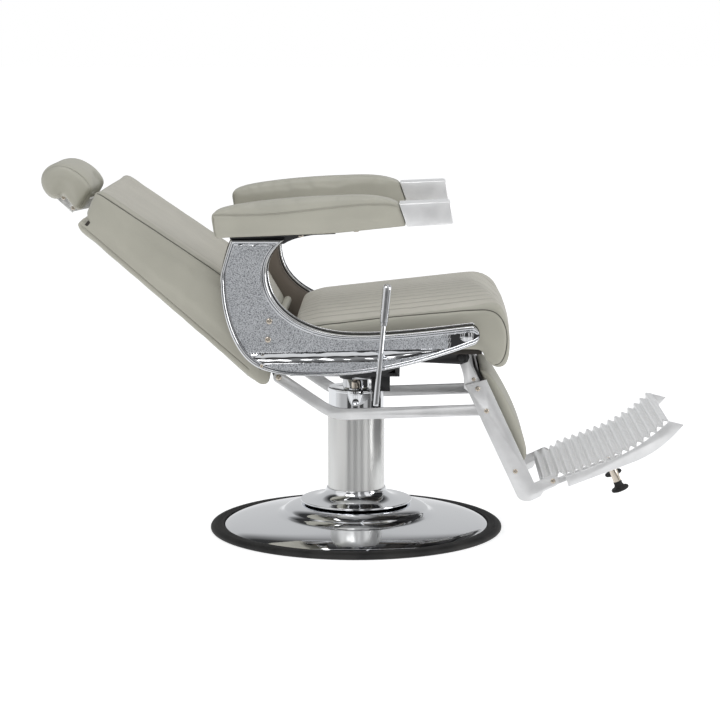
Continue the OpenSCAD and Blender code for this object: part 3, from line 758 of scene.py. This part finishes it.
def panel_row(a, b):
    """Points across the panel from its outer to its inner edge, each with its distance from the edge."""
    width = max(0.02, np.linalg.norm(b - a))
    k = min(1.0, width / NARROW)
    offsets = [e * k for e in EDGES]
    middle = np.linspace(offsets[-1], width - offsets[-1], FIELD_COLUMNS + 2)[1:-1]
    row = offsets + list(middle) + [width - e for e in reversed(offsets)]
    points = [a + (b - a) * s / width for s in row]
    # the nearest point is put exactly on each border between two surfaces
    for border in (cove_top, cove_foot):
        for i in range(len(EDGES), len(row) - len(EDGES) - 1):
            p, q = points[i], points[i + 1]
            fp, fq = p[1] - border(p[0]), q[1] - border(q[0])
            if fp * fq < 0:
                s = fp / (fp - fq)
                points[i if s < 0.5 else i + 1] = p + (q - p) * s
    return [(p, min(s, width - s) / k) for p, s in zip(points, row)]


def panel_surface(x, z, y, facing, level):
    """The material of a face of the panel: 0 polished, 1 stippled, 2 black enamel as painted shade."""
    on_field = level - 3.6 < y < level - 3.2 and facing > 0.95 and x < PANEL_FRONT
    if on_field and (z > cove_top(x) or (z < cove_foot(x) and STRIP_BACK < x < STRIP_FRONT)):
        return 1
    # painted shade: the cove's undercut right below the field is coloured black
    in_cove = STRIP_BACK - 40 < x < PANEL_FRONT - 60 and y > level - 11
    if cove_top(x) - 2.6 < z < cove_top(x) - 0.2 and in_cove and min_edge(x, z) > FIELD_FROM:
        return 2
    return 0


def side_panel(side, sign):
    lo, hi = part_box("side_panel_right")
    level = lo.y / MM + RIM_HEIGHT
    grid = [panel_row(a, b) for a, b in zip(along(OUTER), along(INNER))]
    rows, n = len(grid), len(grid[0])
    verts = []
    for p, d in (point for row in grid for point in row):
        d = min(d, max(0.0, PANEL_TOP - p[1]))
        verts.append(Vector((p[0], level - panel_height(p[0], p[1], d), p[1])) * MM)
    faces = []
    for i in range(rows - 1):
        for j in range(n - 1):
            faces.append(tuple(i * n + j + step for step in (0, n, n + 1, 1)))
    # the edge turns back to the panel's rear face
    border = [i * n for i in range(rows)] + [(rows - 1) * n + j for j in range(1, n)]
    border += [i * n + n - 1 for i in range(rows - 2, -1, -1)] + list(range(n - 2, 0, -1))
    start, m = len(verts), len(border)
    verts += [Vector((verts[i].x, hi.y, verts[i].z)) for i in border]
    for i in range(m):
        j = (i + 1) % m
        faces.append((border[i], border[j], start + j, start + i))
    faces.append(tuple(range(start, start + m)))
    if sign < 0:
        verts = [Vector((v.x, -v.y, v.z)) for v in verts]
    name = f"side_panel_{side}_look"
    mesh = mesh_of(name, verts, faces, 50)
    # the third slot paints shade on the cove's undercut
    o = link(name, mesh, ["chrome", "etched", "black_steel"], "seat")
    for face in mesh.polygons:
        x, y, z = face.center / MM
        face.material_index = panel_surface(x, z, -abs(y), abs(face.normal.y), level)
    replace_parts(o, f"side_panel_{side}", f"panel_inlays_{side}")


# ---------- upholstery ----------


def both(points, y):
    """A side-view path, in millimetres, as one path on each side of the chair."""
    return [[Vector((x, s * y, z)) * MM for x, z in points] for s in (-1, 1)]


RIBS_FROM_SIDE = 0.02  # metres of plain leather beside the ribs
SEAT_SEAM, BACK_SEAM, BACK_WELT = 256, 260, 261  # millimetres from the middle of the chair


def seat():
    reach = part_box("seat_cushion")[1].y - RIBS_FROM_SIDE
    o = pad("seat_cushion_look", ["seat_cushion"], 0.0065, ("upholstery", "ribbed"), rounds=5, cap=0.006,
            keep=lambda c: np.clip((c[:, 2] - 0.455) / 0.06, 0, 1) * np.clip((c[:, 0] + 0.128) / 0.05, 0, 1))
    seam = [(-108, 510), (-75, 518), (-29, 527), (16.5, 533.5), (77, 540.5), (119, 545), (160, 547),
            (243, 547), (278, 544), (300, 538), (318, 526), (331, 507), (337, 488), (336, 466), (330, 438),
            (321, 420), (306, 412)]

    def top(c, n):
        return abs(c.y) < reach and c.z > 0.47 and (n.z > 0.1 or (n.x > 0.3 and c.x > 0.29))

    rib(o, 0.0011, top, reach)
    # the seat seam's dark bead is painted shadow
    piping("seat_seam", o, both(seam, SEAT_SEAM), radius=0.0011, depth=0.0025, width=0.0035, key="painted_seam_shadow")


BACK_SLOPE = math.radians(41)


def back_point(a, b):
    """A side-view point of the back: a along its rear face from the foot, b in towards the front."""
    return (-222 - a * math.cos(BACK_SLOPE) + b * math.sin(BACK_SLOPE),
            398 + a * math.sin(BACK_SLOPE) + b * math.cos(BACK_SLOPE))


def back():
    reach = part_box("back_cushion")[1].y - RIBS_FROM_SIDE
    o = pad("back_cushion_look", ["back_cushion", "back_cover"], 0.0055, ("upholstery", "ribbed"), rounds=2,
            cap=0.004, inside=["back_board"], shrink=-0.0005)
    front = Vector((math.sin(BACK_SLOPE), 0, math.cos(BACK_SLOPE)))

    def ribbed(c, n):
        return abs(c.y) < reach and n.dot(front) > 0.45 and c.z > 0.52 and n.z > 0.1

    rib(o, 0.0014, ribbed, reach)
    edge = [(-559, 796), (-540, 786), (-440, 724), (-330, 650), (-291, 622), (-236, 584), (-218, 568),
            (-204, 546), (-181, 503)]
    # the back seam's dark bead is painted shadow
    piping("back_seam", o, both(edge, BACK_SEAM), radius=0.0011, depth=0.0025, width=0.0035, key="painted_seam_shadow")
    rear = [back_point(a, 2) for a in range(10, 496, 8)]
    piping("back_welt", o, both(rear, BACK_WELT), radius=0.0014, depth=0.0018, width=0.003)


ARM_SEAM = ((-301, 753), (-235, 751), (-167, 754), (-100, 761.5), (-32, 769), (35.5, 775.4), (83, 775.5),
            (95, 771))
ARM_CORNER = ((-302, 752), (-299, 727), (-295, 703))


def side_path(points, y):
    """A side-view path, in millimetres, as a path in metres at y."""
    return [Vector((x, y / MM, z)) * MM for x, z in points]


def arms():
    for side, sign in SIDES:
        lo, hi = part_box(f"arm_pad_{side}")
        o = pad(f"arm_pad_{side}_look", [f"arm_pad_{side}"], 0.0045, rounds=2, cap=0.004, shrink=0.0005,
                keep=lambda c: (np.clip((c[:, 2] - 0.722) / 0.02, 0, 1)
                                * np.clip((0.098 - c[:, 0]) / 0.03, 0, 1)))
        y_out, y_in = (lo.y, hi.y) if sign > 0 else (hi.y, lo.y)
        seams = [side_path(ARM_SEAM, y_out), side_path(ARM_CORNER, y_out), side_path(ARM_CORNER, y_in)]
        piping(f"arm_seam_{side}", o, seams, radius=0.0013, depth=0.0016, width=0.003)
        refined(f"arm_cap_{side}", 4.0)


TRIM_Y = 0.2685


def side_pads():
    """The pads inside the panels, with a bright bead along each panel's inner edge."""
    for side, sign in SIDES:
        pad(f"side_pad_{side}_look", [f"side_pad_{side}"], 0.0045, ("taupe",), rounds=3, cap=0.0025,
            shrink=0.0005)
        line = [(x, z) for s in INNER for x, z in curve(*s, 20) if z < 690 and x < 262]
        rim = [Vector((x * MM, -sign * TRIM_Y, z * MM)) for x, z in line]
        tube(f"side_trim_{side}", rim, 0.0022, "chrome", "seat")


def headrest():
    lo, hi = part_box("headrest_cushion")
    half, middle = hi.y, Vector(((lo.x + hi.x) / 2, 0, (lo.z + hi.z) / 2))

    def taper(c):
        """Draws the cushion in towards its two ends."""
        out = c.copy()
        t = np.clip((np.abs(c[:, 1]) - half * 0.55) / (half * 0.45), 0, 1)
        for k, m in ((0, middle.x), (2, middle.z)):
            out[:, k] = m + (c[:, k] - m) * (1 - 0.2 * t ** 2.5)
        return out

    o = pad("headrest_cushion_look", ["headrest_cushion"], 0.0048, rounds=6, cap=0.007, shape=taper,
            shrink=0.001, keep=lambda c: np.clip((c[:, 2] - 0.745) / 0.04, 0, 1))
    tree = BVHTree.FromPolygons([v.co for v in o.data.vertices], [p.vertices for p in o.data.polygons])
    rings = []
    for s in (-1, 1):
        ring = []
        for k in range(0, 221, 6):
            a = math.radians(150 - k)
            start = Vector((middle.x, s * half * 0.86, middle.z))
            spot = tree.ray_cast(start, Vector((math.cos(a), 0, math.sin(a))))[0]
            if spot is not None:
                ring.append(spot)
        rings.append(ring)
    piping("headrest_seam", o, rings, radius=0.0012, depth=0.0022, width=0.0032)
    return o


def other_pads():
    pad("calf_cushion_look", ["calf_cushion"], 0.005, rounds=5, cap=0.005, shrink=0.001,
        keep=lambda c: np.full(len(c), 0.8))
    pad("back_roll_look", ["back_roll"], 0.004, rounds=2, cap=0.001)


# ---------- footplate ----------

DECK_TURN = math.radians(21.5)
DECK_FOOT = (442, 144.5)
DECK_START, RIDGES, RIDGE_PITCH = -27.0, 17, 18.8
FLAT_LENGTH, CURL_R = 130.0, 370.0
PLATE_HALF, DECK_HALF = 158.0, 189.0
NARROW_RIDGES = 3  # the first ridges run between the flanges, and the others over them
DECK_THICKNESS = 2.6
STEPS_PER_RIDGE = 14
DECK_COLUMNS = (-1, -0.985, -0.95, -0.6, -0.2, 0.2, 0.6, 0.95, 0.985, 1)


def deck_point(along_deck, height):
    """A point over the footplate's curved line, in millimetres in the chair's frame (x, z)."""
    if along_deck < FLAT_LENGTH:
        p = (along_deck, height)
    else:
        a = (along_deck - FLAT_LENGTH) / CURL_R
        p = (FLAT_LENGTH + (CURL_R - height) * math.sin(a), CURL_R - (CURL_R - height) * math.cos(a))
    c, s = math.cos(DECK_TURN), math.sin(DECK_TURN)
    return DECK_FOOT[0] + p[0] * c - p[1] * s, DECK_FOOT[1] + p[0] * s + p[1] * c


def ridge(along_deck):
    """Height of the ridged deck over its own line."""
    t = (along_deck - DECK_START) / RIDGE_PITCH
    return 5 + 9.2 * (0.5 - 0.5 * math.cos(2 * math.pi * t)) ** 0.85


def footplate():
    rows = []
    for i in range(RIDGES * STEPS_PER_RIDGE + 1):
        where = DECK_START + i * RIDGE_PITCH / STEPS_PER_RIDGE
        wide = np.clip((where - DECK_START - NARROW_RIDGES * RIDGE_PITCH + 3) / 3, 0, 1)
        rows.append((where, PLATE_HALF + (DECK_HALF - PLATE_HALF) * wide))
    verts, faces = [], []
    for layer in (0.0, DECK_THICKNESS):
        for where, half in rows:
            for c in DECK_COLUMNS:
                sag = 1.5 if abs(c) == 1 else 0.0
                x, z = deck_point(where, ridge(where) - layer - sag)
                verts.append(Vector((x, c * half, z)) * MM)
    n, m = len(DECK_COLUMNS), len(rows)
    under = m * n
    for i in range(m - 1):
        for j in range(n - 1):
            a = i * n + j
            faces.append((a, a + 1, a + n + 1, a + n))
            faces.append(tuple(under + q for q in (a, a + n, a + n + 1, a + 1)))
    # the walls between the deck's two faces, along its sides and across its ends
    walls = [(i * n + j, (i + 1) * n + j) for i in range(m - 1) for j in (0, n - 1)]
    walls += [(i * n + j, i * n + j + 1) for j in range(n - 1) for i in (0, m - 1)]
    faces += [(a, b, b + under, a + under) for a, b in walls]
    name = "footplate_deck_look"
    o = link(name, mesh_of(name, verts, faces, 60), ["satin"], "footplate")
    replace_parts(o, "footplate_deck")


# ---------- studio ----------


FLOOR_HALF = 40.0
FLOOR_DROP = 0.0005  # keeps the floor clear of the base's underside


def floor():
    """A plain pale floor that glows a little, and doesn't show in polished metal."""
    m = new_material("floor", (0.55, 0.55, 0.55), roughness=0.9, Specular_IOR_Level=0.0)
    shader = m.node_tree.nodes["Principled BSDF"]
    shader.inputs["Emission Color"].default_value = (1, 1, 1, 1)
    shader.inputs["Emission Strength"].default_value = 0.72
    mesh = bpy.data.meshes.new("floor")
    corners = [(-1, -1), (1, -1), (1, 1), (-1, 1)]
    mesh.from_pydata([(x * FLOOR_HALF, y * FLOOR_HALF, 0) for x, y in corners], [], [(0, 1, 2, 3)])
    mesh.materials.append(m)
    o = bpy.data.objects.new("floor", mesh)
    scene.collection.objects.link(o)
    o.location = (0, 0, -FLOOR_DROP)
    o.visible_glossy = False


def area_light(name, location, target, size, power):
    """A soft box that faces target; size is (width, height) in metres."""
    data = bpy.data.lights.new(name, "AREA")
    data.shape = "RECTANGLE"
    data.size, data.size_y = size
    data.energy = power
    o = bpy.data.objects.new(name, data)
    scene.collection.objects.link(o)
    o.location = location
    o.rotation_euler = (Vector(target) - Vector(location)).to_track_quat("-Z", "Y").to_euler()


def sky_band(tree, height, stops):
    """A cool grey by the height of a direction, from -1 straight down to 1 straight up."""
    return colour_ramp(tree, height, [((z + 1) / 2, (g * 0.98, g * 0.99, g)) for z, g in stops])


def even_colour(tree, rgb):
    node = tree.nodes.new("ShaderNodeRGB")
    node.outputs[0].default_value = (*rgb, 1.0)
    return node.outputs[0]


def blend_colours(tree, factor, a, b):
    """Colour a where factor is 0 and b where it is 1."""
    mix = tree.nodes.new("ShaderNodeMix")
    mix.data_type = "RGBA"
    for socket, value in ((mix.inputs[0], factor), (mix.inputs[6], a), (mix.inputs[7], b)):
        tree.links.new(value, socket)
    return mix.outputs[2]


def scaled(tree, value, low, high, to_low=0.0, to_high=1.0):
    """A value carried from one range to another, and held at its ends."""
    node = tree.nodes.new("ShaderNodeMapRange")
    node.inputs["From Min"].default_value = low
    node.inputs["From Max"].default_value = high
    node.inputs["To Min"].default_value = to_low
    node.inputs["To Max"].default_value = to_high
    tree.links.new(value, node.inputs["Value"])
    return node.outputs["Result"]


def studio_world():
    """A white studio: bright behind and above the chair, darker with soft boxes on the near side.
    Direct views and soft light see plain white and pale grey, and polished metal sees the whole room."""
    world = bpy.data.worlds.new("studio")
    world.use_nodes = True
    scene.world = world
    tree = world.node_tree
    sky = tree.nodes["Background"]
    place = tree.nodes.new("ShaderNodeTexCoord")
    split = tree.nodes.new("ShaderNodeSeparateXYZ")
    tree.links.new(place.outputs["Generated"], split.inputs["Vector"])
    x, y, z = (split.outputs[k] for k in "XYZ")
    raised = scaled(tree, z, -1.0, 1.0)
    behind = sky_band(tree, raised, [(-1.0, 0.95), (-0.1, 0.9), (0.1, 0.62), (0.44, 0.55), (0.52, 0.25),
                                     (0.62, 0.04), (0.88, 0.03), (1.0, 0.3)])
    near = sky_band(tree, raised, [(-1.0, 0.95), (-0.34, 0.85), (-0.22, 0.1), (-0.1, 0.02), (0.22, 0.02),
                                   (0.34, 0.75), (0.7, 0.95), (1.0, 0.3)])
    room = blend_colours(tree, scaled(tree, y, -0.45, 0.1), near, behind)
    # soft boxes and dark strips that stand on the near side, told apart by their direction across the room
    stops = [(0.0, 0.9), (0.19, 0.95), (0.23, 0.05), (0.32, 0.04), (0.35, 0.85), (0.39, 0.75), (0.42, 0.04),
             (0.55, 0.03), (0.58, 0.8), (0.62, 0.85), (0.65, 0.05), (0.74, 0.04), (0.78, 0.95), (0.86, 0.9),
             (0.9, 0.08), (1.0, 0.6)]
    strips = colour_ramp(tree, scaled(tree, x, -1.0, 1.0), [(at, (grey,) * 3) for at, grey in stops])
    level = scaled(tree, z, -0.02, -0.3, 0.75, 0.22)
    front_only = scaled(tree, y, 0.0, -0.15)
    share = tree.nodes.new("ShaderNodeMath")
    share.operation = "MULTIPLY"
    tree.links.new(level, share.inputs[0])
    tree.links.new(front_only, share.inputs[1])
    room = blend_colours(tree, share.outputs[0], room, strips)
    path = tree.nodes.new("ShaderNodeLightPath")
    soft_light, backdrop = even_colour(tree, (0.6, 0.61, 0.63)), even_colour(tree, (1.0, 1.0, 1.0))
    colour = blend_colours(tree, path.outputs["Is Diffuse Ray"], room, soft_light)
    colour = blend_colours(tree, path.outputs["Is Camera Ray"], colour, backdrop)
    tree.links.new(colour, sky.inputs["Color"])
    sky.inputs["Strength"].default_value = 1.0


def studio():
    studio_world()
    floor()
    area_light("key", (-1.6, -3.4, 3.6), (0, 0, 0.5), (2.6, 1.6), 42)
    area_light("top", (0.3, 0.6, 4.2), (0, 0, 0.5), (3.2, 2.4), 50)
    area_light("fill", (4.2, -1.4, 1.2), (0.1, 0, 0.5), (1.6, 2.2), 46)
    scene.view_settings.view_transform = "Standard"


# ---------- the chair ----------

make_camera()
base_parts()
lever_parts()
for panel_side, panel_sign in SIDES:
    side_panel(panel_side, panel_sign)
seat()
back()
arms()
side_pads()
headrest()
other_pads()
footplate()

# hard parts that keep their CAD shape, with the width of their eased edges in millimetres
BEVELS = {
    0.15: ("trim_screws", "headrest_screws", "leg_screws", "link_bolts"),
    0.4: ("ram", "headrest_guides"),
    0.5: ("swivel_guide", "headrest_stem", "headrest_plate", "pump_plunger"),
    0.7: ("top_cap", "leg_plate_right", "leg_plate_left", "link_bar_right", "link_bar_left"),
    0.8: ("base_plate", "cylinder_bolts", "arm_frame_right", "arm_frame_left", "back_hinge_bolts", "leg_axle",
          "back_board", "back_hinge_plates", "link_brackets", "leg_straps", "calf_board", "footplate_flanges",
          "footplate_ribs", "bumper_posts", "bumper_feet"),
    1.0: ("pump_cylinder", "mount_flange", "seat_frame", "seat_pan", "leg_cross_bars"),
    1.2: ("lever_bracket",),
}
FINISHES = {"leg_axle": "black_steel", "leg_straps": "satin"}  # where it isn't the record's own slot
for ease, parts in BEVELS.items():
    for part in parts:
        refined(part, ease, FINISHES.get(part))

studio()
